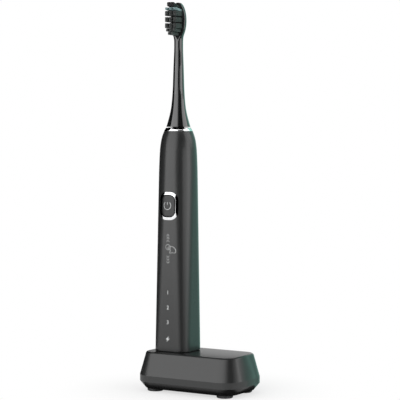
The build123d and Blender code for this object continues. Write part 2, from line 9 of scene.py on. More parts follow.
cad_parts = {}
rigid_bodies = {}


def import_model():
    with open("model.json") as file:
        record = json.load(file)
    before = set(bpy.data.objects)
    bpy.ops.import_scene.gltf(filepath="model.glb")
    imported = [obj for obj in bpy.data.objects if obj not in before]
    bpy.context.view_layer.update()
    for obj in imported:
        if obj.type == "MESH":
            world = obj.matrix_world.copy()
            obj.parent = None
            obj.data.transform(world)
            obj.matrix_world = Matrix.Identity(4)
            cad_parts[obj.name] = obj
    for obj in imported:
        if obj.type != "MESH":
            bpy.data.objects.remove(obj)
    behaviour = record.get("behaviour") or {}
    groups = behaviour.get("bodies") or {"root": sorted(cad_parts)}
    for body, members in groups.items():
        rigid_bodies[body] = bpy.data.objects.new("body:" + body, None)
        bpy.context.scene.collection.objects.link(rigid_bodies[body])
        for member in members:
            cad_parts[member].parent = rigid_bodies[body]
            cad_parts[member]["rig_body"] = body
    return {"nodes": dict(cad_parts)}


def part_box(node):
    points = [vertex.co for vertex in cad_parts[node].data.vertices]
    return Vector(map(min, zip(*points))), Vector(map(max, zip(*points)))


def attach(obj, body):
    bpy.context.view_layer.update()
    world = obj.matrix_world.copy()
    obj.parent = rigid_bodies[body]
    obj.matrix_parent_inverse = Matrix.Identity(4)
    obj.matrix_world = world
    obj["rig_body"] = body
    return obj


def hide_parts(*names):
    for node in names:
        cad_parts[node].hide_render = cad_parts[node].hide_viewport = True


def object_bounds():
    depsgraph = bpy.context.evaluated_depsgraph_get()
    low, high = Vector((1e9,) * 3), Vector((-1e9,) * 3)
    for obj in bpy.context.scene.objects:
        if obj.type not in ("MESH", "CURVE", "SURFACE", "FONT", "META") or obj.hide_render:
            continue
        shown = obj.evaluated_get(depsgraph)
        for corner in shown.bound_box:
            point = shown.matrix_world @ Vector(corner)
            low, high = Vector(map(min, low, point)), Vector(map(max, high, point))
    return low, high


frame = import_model()
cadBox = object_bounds()
mm = 0.001
random.seed(7)
print("frame loaded:", len(frame["nodes"]), "nodes")

# Lines that every piece is set against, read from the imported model
shaftLow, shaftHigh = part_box("drive_shaft")
handleLow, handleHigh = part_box("handle_shell")
collarLow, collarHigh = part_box("chrome_collar")
bezelLow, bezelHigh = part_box("button_bezel")
neckLow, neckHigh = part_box("brush_neck")
brushX = (shaftLow[0] + shaftHigh[0]) / 2
handleFoot, handleTop = handleLow[2], handleHigh[2]
bezelZ = (bezelLow[2] + bezelHigh[2]) / 2 + 0.15 * mm


# Wraps a socket, so that shader maths reads as plain expressions
class Value:
    def __init__(self, maker, socket):
        self.maker, self.socket = maker, socket

    def math(self, operation, first, second):
        return self.maker.node("ShaderNodeMath", {"operation": operation}, {0: first, 1: second})

    def __add__(self, other):
        return self.math("ADD", self, other)

    def __sub__(self, other):
        return self.math("SUBTRACT", self, other)

    def __rsub__(self, other):
        return self.math("SUBTRACT", other, self)

    def __mul__(self, other):
        return self.math("MULTIPLY", self, other)

    __radd__, __rmul__ = __add__, __mul__

    def below(self, limit):
        return self.math("LESS_THAN", self, limit)


# Adds nodes to one node tree
class Maker:
    def __init__(self, tree):
        self.tree = tree

    def node(self, kind, settings=None, inputs=None, output=0):
        made = self.tree.nodes.new(kind)
        for key, value in (settings or {}).items():
            setattr(made, key, value)
        for key, value in (inputs or {}).items():
            self.feed(made.inputs[key], value)
        return Value(self, made.outputs[output])

    def feed(self, socket, value):
        if isinstance(value, Value):
            self.tree.links.new(value.socket, socket)
        else:
            socket.default_value = value


# One material: what varies over the surface is worked out from the place in Object coordinates
class Finish(Maker):
    def __init__(self, name, **constants):
        self.material = bpy.data.materials.new(name)
        self.material.use_nodes = True
        super().__init__(self.material.node_tree)
        self.surface = self.tree.nodes["Principled BSDF"]
        self.place = self.node("ShaderNodeTexCoord", output="Object")
        self.set(**constants)

    def noise(self, size, detail=2.0):
        inputs = {"Vector": self.place, "Scale": 1 / size, "Detail": detail}
        return self.node("ShaderNodeTexNoise", None, inputs)

    def along(self, axis):
        return self.node("ShaderNodeSeparateXYZ", None, {0: self.place}, output=axis)

    def tint(self, amount, dark, light):
        return self.node("ShaderNodeMix", {"data_type": "RGBA"}, {0: amount, 6: dark, 7: light}, output=2)

    def set(self, **links):
        for socket, value in links.items():
            self.feed(self.surface.inputs[socket.replace("_", " ")], value)
        return self

    def bump(self, height, depth):
        inputs = {"Strength": 1.0, "Distance": depth, "Height": height}
        return self.set(Normal=self.node("ShaderNodeBump", None, inputs))


def shade(colour, factor):
    return tuple(min(1.0, part * factor) for part in colour) + (1.0,)


def moulded(name, colour, roughness, grain, depth, mottle=0.08, **constants):
    finish = Finish(name, **constants)
    broad, fine = finish.noise(18 * mm, 3.0), finish.noise(grain, 2.0)
    finish.set(Base_Color=finish.tint(broad, shade(colour, 1 - mottle), shade(colour, 1 + mottle)))
    finish.set(Roughness=roughness - 0.03 + 0.06 * fine)
    return finish.bump(fine, depth).material


# A moulding whose flat top swells slightly between front and back
def crowned(name, colour, roughness, swell):
    finish = Finish(name)
    broad, fine = finish.noise(18 * mm, 3.0), finish.noise(0.2 * mm)
    across = finish.along("Y")
    finish.set(Base_Color=finish.tint(broad, shade(colour, 0.92), shade(colour, 1.08)))
    finish.set(Roughness=roughness - 0.03 + 0.06 * fine)
    return finish.bump(0.008 * mm * fine - swell * across * across, 1.0).material


# Nylon with painted shade at the roots: the colour darkens towards the plate, where the tufts stand close
# together
def bristles(name, colour, roughness, mottle):
    finish = Finish(name)
    rootShadeRamp = finish.node(
        "ShaderNodeMapRange", None,
        {"Value": finish.along("Y"), "From Min": -2.8 * mm, "From Max": -5.2 * mm},
    )
    fine = finish.noise(0.3 * mm)
    tips = finish.tint(fine, shade(colour, 1 - mottle), shade(colour, 1 + mottle))
    # painted shade: near the plate the bristles take a much darker copy of their colour
    finish.set(Base_Color=finish.tint(rootShadeRamp, shade(colour, 0.12), tips), Roughness=roughness + 0.06 * fine)
    return finish.bump(fine, 0.002 * mm).material


# A moulding whose lower edge, the undercut, gets a darker colour: painted shade under the body
def trayWithPaintedShade(name, band, undercut, edge):
    finish = Finish(name, Specular_IOR_Level=0.35)
    below = finish.along("Z").below(edge)
    fine = finish.noise(0.2 * mm)
    # painted shade: below the edge height the darker undercut colour is used
    finish.set(Base_Color=finish.tint(below, shade(band, 1.0), shade(undercut, 1.0)))
    finish.set(Roughness=0.29 + 0.06 * fine)
    return finish.bump(fine, 0.008 * mm).material


def metal(name, colour, roughness, grain, depth, **constants):
    finish = Finish(name, Metallic=1.0, **constants)
    fine = finish.noise(grain, 3.0)
    finish.set(Base_Color=finish.tint(fine, shade(colour, 0.94), shade(colour, 1.04)))
    finish.set(Roughness=roughness + 0.04 * fine)
    return finish.bump(fine, depth).material


def winding(name, colour, wire):
    finish = Finish(name, Metallic=1.0, Coat_Weight=0.6)
    turns = finish.node(
        "ShaderNodeTexWave", {"wave_type": "BANDS", "bands_direction": "Z", "wave_profile": "SIN"},
        {"Vector": finish.place, "Scale": 0.314 / wire, "Distortion": 0.3},       # one band for each turn
    )
    finish.set(Base_Color=finish.tint(turns, shade(colour, 0.45), shade(colour, 1.1)))
    finish.set(Roughness=0.28 + 0.1 * finish.noise(0.6 * mm))
    return finish.bump(turns, wire / 2).material


def circuitBoard(name, colour):
    finish = Finish(name, Specular_IOR_Level=0.6)
    tracks = finish.node(
        "ShaderNodeTexVoronoi", {"feature": "DISTANCE_TO_EDGE", "distance": "MANHATTAN"},
        {"Vector": finish.place, "Scale": 1 / (4 * mm), "Randomness": 0.7},
    )
    lines = tracks.below(0.06)
    finish.set(Base_Color=finish.tint(lines, shade(colour, 1.0), shade(colour, 2.2)))
    finish.set(Roughness=0.32 + 0.1 * finish.noise(0.5 * mm))
    return finish.bump(lines, 0.03 * mm).material


handleGrey = moulded("handleGrey", (0.016, 0.0165, 0.0165), 0.28, 0.16 * mm, 0.006 * mm)
baseGrey = crowned("baseGrey", (0.013, 0.0135, 0.0135), 0.29, 1.5)
# the second colour is painted shade on the undercut
trayGrey = trayWithPaintedShade("trayGrey", (0.028, 0.0285, 0.0285), (0.007, 0.007, 0.007), 7.2 * mm)
buttonGrey = moulded("buttonGrey", (0.009, 0.0095, 0.0095), 0.36, 0.15 * mm, 0.006 * mm)
glossBlack = moulded(
    "glossBlack", (0.006, 0.0065, 0.0065), 0.09, 0.8 * mm, 0.0004 * mm, mottle=0.15,
    Specular_IOR_Level=0.5, Coat_Weight=1.0, Coat_Roughness=0.03, Coat_IOR=1.45,
)
plateBlack = moulded(
    "plateBlack", (0.006, 0.0065, 0.0065), 0.6, 0.6 * mm, 0.001 * mm, mottle=0.15, Specular_IOR_Level=0.15,
)
nylonBlack = bristles("nylonBlack", (0.045, 0.050, 0.048), 0.36, 0.5)
nylonDark = bristles("nylonDark", (0.014, 0.013, 0.014), 0.36, 0.4)
# painted reflection: this teal colour stands in for light glinting on the tops of the second row of tufts
nylonTealGlint = bristles("nylonTealGlint", (0.23, 0.34, 0.35), 0.34, 0.3)
footRubber = moulded("footRubber", (0.022, 0.022, 0.023), 0.62, 0.35 * mm, 0.02 * mm)
sealRubber = moulded("sealRubber", (0.028, 0.028, 0.030), 0.55, 0.3 * mm, 0.01 * mm)
innerWhite = moulded("innerWhite", (0.70, 0.71, 0.72), 0.42, 0.4 * mm, 0.006 * mm)
chipBlack = moulded("chipBlack", (0.02, 0.02, 0.022), 0.5, 0.2 * mm, 0.01 * mm)
clearAcrylic = moulded(
    "clearAcrylic", (0.86, 0.88, 0.89), 0.22, 0.5 * mm, 0.002 * mm, mottle=0.03, Transmission_Weight=0.6,
)
ferriteGrey = moulded("ferriteGrey", (0.045, 0.045, 0.05), 0.5, 0.3 * mm, 0.02 * mm)
cellWrap = moulded("cellWrap", (0.05, 0.14, 0.22), 0.3, 0.8 * mm, 0.003 * mm, Coat_Weight=0.5)
printGrey = moulded("printGrey", (0.56, 0.57, 0.57), 0.5, 0.2 * mm, 0.004 * mm, mottle=0.1)
printWhite = moulded("printWhite", (0.56, 0.57, 0.57), 0.5, 0.2 * mm, 0.004 * mm, mottle=0.06)
chromePlate = metal("chromePlate", (0.90, 0.91, 0.92), 0.05, 0.9 * mm, 0.0003 * mm)
turnedSteel = metal("turnedSteel", (0.60, 0.61, 0.62), 0.24, 0.25 * mm, 0.002 * mm)
sinteredBronze = metal("sinteredBronze", (0.62, 0.44, 0.22), 0.38, 0.2 * mm, 0.006 * mm)
copperWire = winding("copperWire", (0.80, 0.42, 0.20), 0.22 * mm)
boardGreen = circuitBoard("boardGreen", (0.012, 0.075, 0.040))
print("finishes made:", len(bpy.data.materials))


def linkMesh(bm, name):
    mesh = bpy.data.meshes.new(name)
    bm.to_mesh(mesh)
    bm.free()
    made = bpy.data.objects.new(name, mesh)
    bpy.context.scene.collection.objects.link(made)
    return made


def addPiece(bm, name, material, body, stands=(), sharp=38):
    bmesh.ops.remove_doubles(bm, verts=bm.verts, dist=1e-7)
    bmesh.ops.recalc_face_normals(bm, faces=bm.faces)
    return dressPiece(linkMesh(bm, name), material, body, stands, sharp)


def dressPiece(piece, material, body, stands=(), sharp=38):
    piece.data.materials.clear()
    piece.data.materials.append(material)
    piece.data.shade_smooth()
    piece.data.set_sharp_from_angle(angle=math.radians(sharp))
    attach(piece, body)
    if stands:
        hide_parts(*stands)
    return piece


def applyModifiers(piece):
    result = bpy.data.meshes.new_from_object(piece.evaluated_get(bpy.context.evaluated_depsgraph_get()))
    piece.modifiers.clear()
    piece.data = result


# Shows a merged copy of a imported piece, so that its curved walls shade smoothly
def smoothCopy(node, name, material, weigh=True):
    bm = bmesh.new()
    bm.from_mesh(frame["nodes"][node].data)
    bmesh.ops.remove_doubles(bm, verts=bm.verts, dist=1e-6)
    body = frame["nodes"][node]["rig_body"]
    piece = dressPiece(linkMesh(bm, name), material, body, [node], sharp=30)
    if weigh:
        piece.modifiers.new("evenNormals", "WEIGHTED_NORMAL").keep_sharp = True
    return piece


# A tube or cap drawn as a stack of outlines: each level moves one extruded copy of the outline
def stackLevels(bm, levels, joined=False, capped=(False, False)):
    seed = bm.verts.layers.float_vector.new("seed")
    for vert in bm.verts:
        vert[seed] = vert.co
    edges = bm.edges[:]
    first = edges
    for index, level in enumerate(levels):
        if index:
            grown = bmesh.ops.extrude_edge_only(bm, edges=edges)["geom"]
            edges = [item for item in grown if isinstance(item, bmesh.types.BMEdge)]
            edges = [edge for edge in edges if all(vert in grown for vert in edge.verts)]
        for vert in {vert for edge in edges for vert in edge.verts}:
            vert.co = level(vert[seed])
    if joined:
        bmesh.ops.bridge_loops(bm, edges=first + edges)
    for loop, wanted in zip((first, edges), capped):
        if wanted:
            bmesh.ops.contextual_create(bm, geom=loop)
    return bm


def circleOutline(segments):
    bm = bmesh.new()
    bmesh.ops.create_circle(bm, cap_ends=False, radius=1, segments=segments)
    return bm


def roundedOutline(width, height, corner, segments):
    bm = bmesh.new()
    bmesh.ops.create_grid(bm, x_segments=1, y_segments=1, size=0.5)
    bmesh.ops.scale(bm, vec=(width, height, 1), verts=bm.verts)
    bmesh.ops.bevel(
        bm, geom=bm.verts, affect="VERTICES", offset=corner, segments=segments, profile=0.5, material=-1,
        offset_type="OFFSET",
    )
    bmesh.ops.delete(bm, geom=bm.faces, context="FACES_ONLY")
    long = [edge for edge in bm.edges if edge.calc_length() > corner / segments * 3]
    bmesh.ops.subdivide_edges(bm, edges=long, cuts=8)
    return bm


def spunProfile(points, segments=96):
    bm = bmesh.new()
    verts = [bm.verts.new((brushX + radius, 0, height)) for radius, height in points]
    edges = [bm.edges.new((a, b)) for a, b in zip(verts, verts[1:] + verts[:1])]
    bmesh.ops.spin(
        bm, geom=verts + edges, cent=(brushX, 0, 0), axis=(0, 0, 1), angle=math.tau, steps=segments,
        use_merge=True, use_duplicate=False,
    )
    return bm


def blend(a, b, t):
    return a + (b - a) * t


# Height of a smooth curve through (place, value) points
def curveThrough(points, place):
    last = len(points) - 2
    index = max(0, min(last, sum(place >= point[0] for point in points) - 1))
    (x0, y0), (x1, y1) = points[index], points[index + 1]
    before, after = points[max(0, index - 1)], points[min(last + 1, index + 2)]
    slopeIn, slopeOut = (y1 - before[1]) / (x1 - before[0]), (after[1] - y0) / (after[0] - x0)
    t = min(1.0, max(0.0, (place - x0) / (x1 - x0)))
    span = x1 - x0
    return (y0 * (2 * t**3 - 3 * t**2 + 1) + y1 * (3 * t**2 - 2 * t**3)
            + slopeIn * span * (t**3 - 2 * t**2 + t) + slopeOut * span * (t**3 - t**2))


handle = {
    "half": 13.85 * mm,        # over the flats
    "cornerFoot": 8.0 * mm,
    "roundHeight": 156 * mm,   # where the section has become a circle
    "roundRadius": 13.78 * mm,
    "shoulder": [(156, 13.78), (164, 13.5), (169.8, 13.22), (174, 12.85), (178.3, 12.2), (181.5, 11.35),
                 (184.6, 10.2)],
    "mouthRadius": 10.2 * mm,
    "mouthBore": 8.35 * mm,
    "mouthDepth": 5 * mm,      # the bore runs this far in, then widens
    "boreDepth": 9 * mm,
    "footRounding": 0.9 * mm,
    "wall": 1.8 * mm,
    "segments": 144,
    "sideRows": 40, "shoulderRows": 36, "wallRows": 11,
}


def sideReach(angle, half, corner):
    across, along = sorted((abs(math.cos(angle)), abs(math.sin(angle))))
    flat = half - corner
    if across * half <= flat * along:
        return half / along
    middle = flat * (across + along)
    return middle + math.sqrt(max(0.0, middle * middle - 2 * flat * flat + corner * corner))


def handleSection(height):
    up = min(1.0, max(0.0, (height - handleFoot) / (handle["roundHeight"] - handleFoot)))
    half = blend(handle["half"], handle["roundRadius"], up)
    corner = blend(handle["cornerFoot"], handle["roundRadius"], up)
    if height > handle["roundHeight"]:
        half = corner = curveThrough(handle["shoulder"], height / mm) * mm
    return half, corner


def handleLevel(height, inset):
    half, corner = handleSection(height)

    def place(seed):
        angle = math.atan2(seed.y, seed.x)
        reach = sideReach(angle, half - inset, max(corner - inset, 0.1 * mm))
        return Vector((brushX + reach * math.cos(angle), reach * math.sin(angle), height))

    return place


# Where the front surface lies at a place across the handle
def frontSurface(x, z):
    half, corner = handleSection(z)
    over = max(0.0, abs(x - brushX) - (half - corner))
    return -(half - corner + math.sqrt(max(0.0, corner * corner - over * over)))


def roundLevel(radius, height):
    return lambda seed: Vector((brushX + radius * seed.x, radius * seed.y, height))


# From the rounded foot up the outside, over the rim and down the inside of the wall
def makeHandle():
    bend, wall, roundHeight = handle["footRounding"], handle["wall"], handle["roundHeight"]
    levels = []
    for turn in (90, 75, 60, 45, 30, 15, 0):
        over = math.radians(turn)
        levels.append(handleLevel(handleFoot + bend * (1 - math.sin(over)), bend * (1 - math.cos(over))))
    for step in range(1, handle["sideRows"] + 1):
        levels.append(handleLevel(blend(handleFoot + bend, roundHeight, step / handle["sideRows"]), 0))
    for step in range(1, handle["shoulderRows"] + 1):
        rise = math.sin(math.pi / 2 * step / handle["shoulderRows"])
        levels.append(handleLevel(blend(roundHeight, handleTop, rise), 0))
    levels.append(handleLevel(handleTop, handle["mouthRadius"] - handle["mouthBore"]))
    levels.append(roundLevel(handle["mouthBore"], handleTop - handle["mouthDepth"]))
    wallTop = handleTop - handle["boreDepth"]
    for step in range(handle["wallRows"] + 1):
        levels.append(handleLevel(blend(wallTop, handleFoot + 1 * mm, step / handle["wallRows"]), wall))
    levels.append(handleLevel(handleFoot, wall))
    return stackLevels(circleOutline(handle["segments"]), levels, joined=True)


button = {
    "width": 15.2 * mm, "height": 19.7 * mm, "corner": 6.0 * mm,    # outside of the ring
    "ring": 1.85 * mm,             # width of the ring
    "slope": 1.55 * mm,            # it falls to the handle over this width
    "proud": 0.33 * mm,            # height of its crest over the handle
    "foot": 0.02 * mm, "sunk": 0.15 * mm,
    "crest": 0.06 * mm, "chamfer": 0.1 * mm,                        # its inner edge
    "back": -10.9 * mm,
    "gap": 0.5 * mm, "rounding": 0.3 * mm, "lift": 0.05 * mm, "buttonBack": -11.5 * mm,
    "window": (-8.8 * mm, -17 * mm),                                # depth that is cut through the wall
}


def windowCutter():
    bm = roundedOutline(button["width"], button["height"], button["corner"], 14)
    start, end = button["window"]
    levels = [
        lambda seed: Vector((brushX + seed.x, start, bezelZ + seed.y)),
        lambda seed: Vector((brushX + seed.x, end, bezelZ + seed.y)),
    ]
    return stackLevels(bm, levels, capped=(True, True))



handleSkin = addPiece(makeHandle(), "handleSkin", handleGrey, "handle", ["handle_shell"])
cutter = addPiece(windowCutter(), "windowCutter", handleGrey, "handle")
opening = handleSkin.modifiers.new("window", "BOOLEAN")
opening.object, opening.operation, opening.solver = cutter, "DIFFERENCE", "EXACT"
applyModifiers(handleSkin)
bpy.data.objects.remove(cutter)
handleSkin.data.set_sharp_from_angle(angle=math.radians(38))
print("handle made:", len(handleSkin.data.polygons), "faces")

collar = {
    "foot": 10.2 * mm, "head": 8.9 * mm, "bore": 7.45 * mm,          # radii
    "edge": 0.18 * mm, "upright": 0.35 * mm,
}
low, high, edge = collarLow[2], collarHigh[2], collar["edge"]
collarBody = spunProfile([
    (collar["bore"], low), (collar["foot"] - edge, low), (collar["foot"], low + edge),
    (collar["foot"], low + collar["upright"]), (collar["head"] + edge * 0.6, high - edge),
    (collar["head"] - edge * 0.6, high), (collar["bore"], high),
])
addPiece(collarBody, "collarRing", chromePlate, "handle", ["chrome_collar"], sharp=50)


# A point of a rounded outline moved in square to the edge
def movedIn(seed, inset, width, height, corner):
    straight = Vector((width / 2 - corner, height / 2 - corner))
    start = Vector((max(-straight.x, min(straight.x, seed.x)), max(-straight.y, min(straight.y, seed.y))))
    return seed.xy - (seed.xy - start) * (inset / corner)


# Levels lie at a height over the handle's own surface, or at a fixed depth
def frontLevel(size, inset, lift=0.0, depth=None, shrink=1.0):
    def place(seed):
        point = movedIn(seed, inset, *size) * shrink
        x, z = brushX + point.x, bezelZ + point.y
        return Vector((x, frontSurface(x, z) - lift if depth is None else depth, z))

    return place


def makeBezel():
    size = (button["width"], button["height"], button["corner"])
    ring, slope, proud = button["ring"], button["slope"], button["proud"]
    levels = [frontLevel(size, 0, depth=button["back"]), frontLevel(size, 0, lift=-button["sunk"])]
    for step in range(7):
        t = step / 6
        levels.append(frontLevel(size, slope * t, lift=blend(button["foot"], proud, t)))
    levels.append(frontLevel(size, ring - button["crest"], lift=proud))
    levels.append(frontLevel(size, ring, lift=proud - button["chamfer"]))
    levels.append(frontLevel(size, ring, depth=button["back"]))
    return stackLevels(roundedOutline(*size, 20), levels, joined=True)


def makeButton():
    around = 2 * (button["ring"] + button["gap"])
    size = (button["width"] - around, button["height"] - around, button["corner"] - around / 2)
    rounding, lift = button["rounding"], button["lift"]
    levels = [frontLevel(size, 0, depth=button["buttonBack"])]
    for turn in (0, 22.5, 45, 67.5, 90):
        inset, drop = (rounding * (1 - part(math.radians(turn))) for part in (math.cos, math.sin))
        levels.append(frontLevel(size, inset, lift=lift - drop))
    for shrink in (0.85, 0.7, 0.5, 0.3, 0.12):
        levels.append(frontLevel(size, rounding, lift=lift, shrink=shrink))
    return stackLevels(roundedOutline(*size, 12), levels, capped=(True, True))


bezelRing = addPiece(makeBezel(), "bezelRing", chromePlate, "handle", ["button_bezel"], sharp=30)
bezelRing.data.materials.append(plateBlack)
for face in bezelRing.data.polygons:
    face.material_index = int(abs(face.normal.y) < 0.7)       # the walls of the gap take the black finish: partly a dark gasket, partly painted shade in the gap
addPiece(makeButton(), "buttonCap", buttonGrey, "button", ["power_button"], sharp=50)
print("button made")

printed = {
    "stroke": 0.19 * mm,
    "thick": 0.03 * mm,
    "chevronWidth": 2.5 * mm, "chevronRise": 1.2 * mm, "chevronStep": 1.97 * mm,
    "upTop": 111.7 * mm, "downFoot": 91.4 * mm,     # tips of the outermost arrows
    "ringX": 0.1 * mm, "ringZ": 102.7 * mm, "ringRadius": 1.9 * mm,
    "hand": [(0.1, 102.9), (1.4, 102.7), (2.6, 103.3), (3.6, 103.5), (4.9, 102.6), (6.0, 101.3),
             (6.4, 99.8), (5.5, 98.6), (4.4, 98.7), (3.8, 99.1), (3.0, 98.6), (2.4, 98.9), (1.6, 98.3),
             (1.2, 99.2), (2.3, 100.3), (2.2, 101.0), (0.8, 101.6), (-0.3, 101.9)],
    "modes": [(70.4 * mm, "1"), (59.7 * mm, "2"), (49.2 * mm, "3")],
    "numberSize": 3.9 * mm,
    "boltZ": 37.4 * mm, "boltHeight": 4.3 * mm,
    "bolt": [(0.24, 0.5), (-0.40, -0.09), (-0.03, -0.06), (-0.24, -0.5), (0.40, 0.09), (0.03, 0.06)],
    "powerRadius": 2.85 * mm, "powerShift": (-0.5 * mm, 0.35 * mm), "powerStroke": 0.31 * mm,
    "powerArc": (129, 411), "powerBar": (0.6 * mm, 2.5 * mm),
}


# Lays a flat drawing on the front surface as a thin raised print
def layPrint(bm, name, material, body, raised=0.0):
    bm.normal_update()
    bmesh.ops.triangulate(bm, faces=[face for face in bm.faces if len(face.verts) > 4])
    for _ in range(2):
        long = [edge for edge in bm.edges if edge.calc_length() > 0.8 * mm]
        if long:
            bmesh.ops.subdivide_edges(bm, edges=long, cuts=2)
    back = bm.verts[:]
    grown = bmesh.ops.extrude_face_region(bm, geom=bm.faces[:])["geom"]
    front = [item for item in grown if isinstance(item, bmesh.types.BMVert)]
    for verts, lift in ((back, 0.05 * mm), (front, -printed["thick"])):
        for vert in verts:
            vert.co.y = frontSurface(vert.co.x, vert.co.z) - raised + lift
    return addPiece(bm, name, material, body)


# Adds one stroke of even width along a list of (x, z) points
def drawStroke(bm, points, width, closed=False):
    points = [Vector((x, 0, z)) for x, z in points]
    count = len(points)
    pairs = []
    for index, point in enumerate(points):
        before = points[index - 1] if index or closed else point
        after = points[(index + 1) % count] if index < count - 1 or closed else point
        incoming, outgoing = (point - before), (after - point)
        incoming = incoming.normalized() if incoming.length else outgoing.normalized()
        outgoing = outgoing.normalized() if outgoing.length else incoming
        along = (incoming + outgoing).normalized()
        side = Vector((-along.z, 0, along.x)) * (width / 2 / max(0.4, along.dot(incoming)))
        pairs.append((bm.verts.new(point + side), bm.verts.new(point - side)))
    links = list(zip(pairs, pairs[1:])) + ([(pairs[-1], pairs[0])] if closed else [])
    for (a, b), (c, d) in links:
        bm.faces.new((a, b, d, c))


# Cuts the corners of a closed line twice, which rounds it
def softened(points):
    for _ in range(2):
        pairs = zip(points, points[1:] + points[:1])
        points = [(blend(a, c, t), blend(b, d, t)) for (a, b), (c, d) in pairs for t in (0.25, 0.75)]
    return points


def arcPoints(centreX, centreZ, radius, start, end, steps=24):
    angles = [math.radians(blend(start, end, step / steps)) for step in range(steps + 1)]
    return [(centreX + radius * math.cos(a), centreZ + radius * math.sin(a)) for a in angles]


powerSign = bmesh.new()
radius, width = printed["powerRadius"], printed["powerStroke"]
signX, signZ = brushX + printed["powerShift"][0], bezelZ + printed["powerShift"][1]
drawStroke(powerSign, arcPoints(signX, signZ, radius, *printed["powerArc"], 40), width)
drawStroke(powerSign, [(signX, signZ + end) for end in printed["powerBar"]], width)
layPrint(powerSign, "powerSign", printWhite, "button", raised=button["lift"])

arrows = bmesh.new()
for tip, turn in ((printed["upTop"], -1), (printed["downFoot"], 1)):
    for index in range(3):
        z = tip + turn * index * printed["chevronStep"]
        half = printed["chevronWidth"] / 2
        ends = z + turn * printed["chevronRise"]
        drawStroke(arrows, [(brushX - half, ends), (brushX, z), (brushX + half, ends)], printed["stroke"])
layPrint(arrows, "arrowMarks", printGrey, "handle")

# a ring with a pointing hand
icon = bmesh.new()
ringX, ringZ, radius = brushX + printed["ringX"], printed["ringZ"], printed["ringRadius"]
drawStroke(icon, arcPoints(ringX, ringZ, radius, 0, 345, 24), printed["stroke"], closed=True)
hand = softened([(brushX + x * mm, z * mm) for x, z in printed["hand"]])
drawStroke(icon, hand, printed["stroke"], closed=True)
layPrint(icon, "careIcon", printGrey, "handle")

bolt = bmesh.new()
height = printed["boltHeight"]
corners = [(brushX + x * height, 0, printed["boltZ"] + z * height) for x, z in printed["bolt"]]
bolt.faces.new([bolt.verts.new(corner) for corner in corners])
layPrint(bolt, "chargeMark", printWhite, "handle")

for height, digit in printed["modes"]:
    curve = bpy.data.curves.new("digit", "FONT")
    curve.body, curve.size = digit, printed["numberSize"]
    curve.align_x, curve.align_y = "CENTER", "CENTER"
    holder = bpy.data.objects.new("digit", curve)
    flat = bpy.data.meshes.new_from_object(holder)
    number = bmesh.new()
    number.from_mesh(flat)
    bmesh.ops.rotate(number, verts=number.verts, cent=(0, 0, 0), matrix=Matrix.Rotation(math.pi / 2, 3, "X"))
    bmesh.ops.translate(number, verts=number.verts, vec=(brushX, 0, height))
    layPrint(number, "modeMark" + digit, printGrey, "handle")
    bpy.data.objects.remove(holder)
print("marks laid")

head = {
    "skirtRadius": 8.7 * mm, "skirtWall": 1.2 * mm, "boreRadius": 3.4 * mm,
    "boreTop": 210.1 * mm, "boreFoot": 197 * mm,
    "neck": [(187.6, 8.7), (189.8, 8.0), (192.3, 7.3), (196.5, 6.2), (201.0, 5.32), (206.5, 4.7),
             (213.8, 4.2), (221.5, 3.93), (229.0, 3.7), (236.0, 3.43), (243.0, 3.2), (248.0, 3.2)],
    "throatFoot": 248.0 * mm,
    "middle": 262.6 * mm, "halfWidth": 6.1 * mm, "halfHeight": 13.0 * mm,
    "join": -0.715,                # where the throat meets the oval, as a share of its half height
    "front": -2.2 * mm, "back": 2.1 * mm,
    "tipFront": -0.7 * mm, "tipBack": 0.1 * mm,
    "thinning": 0.42,              # the plate thins where it is narrower than this share
    "frontPower": 0.40, "backPower": 0.62,                          # 1 would be round, 0 square
    "bristle": 9.3 * mm,
    "neckRows": 60, "throatRows": 14, "headRows": 40,
    "segments": 96,
}


# Section of the head: flat in front where the bristles stand, domed behind
def headLevel(height, width, front, back, flatness):
    middle = (front + back) / 2

    def place(seed):
        power = blend(1.0, head["frontPower"] if seed.y < 0 else head["backPower"], flatness)
        side = math.copysign(abs(seed.x) ** power, seed.x)
        deep = math.copysign(abs(seed.y) ** power, seed.y)
        reach = middle - front if seed.y < 0 else back - middle
        return Vector((brushX + width * side, middle + reach * deep, height))

    return place


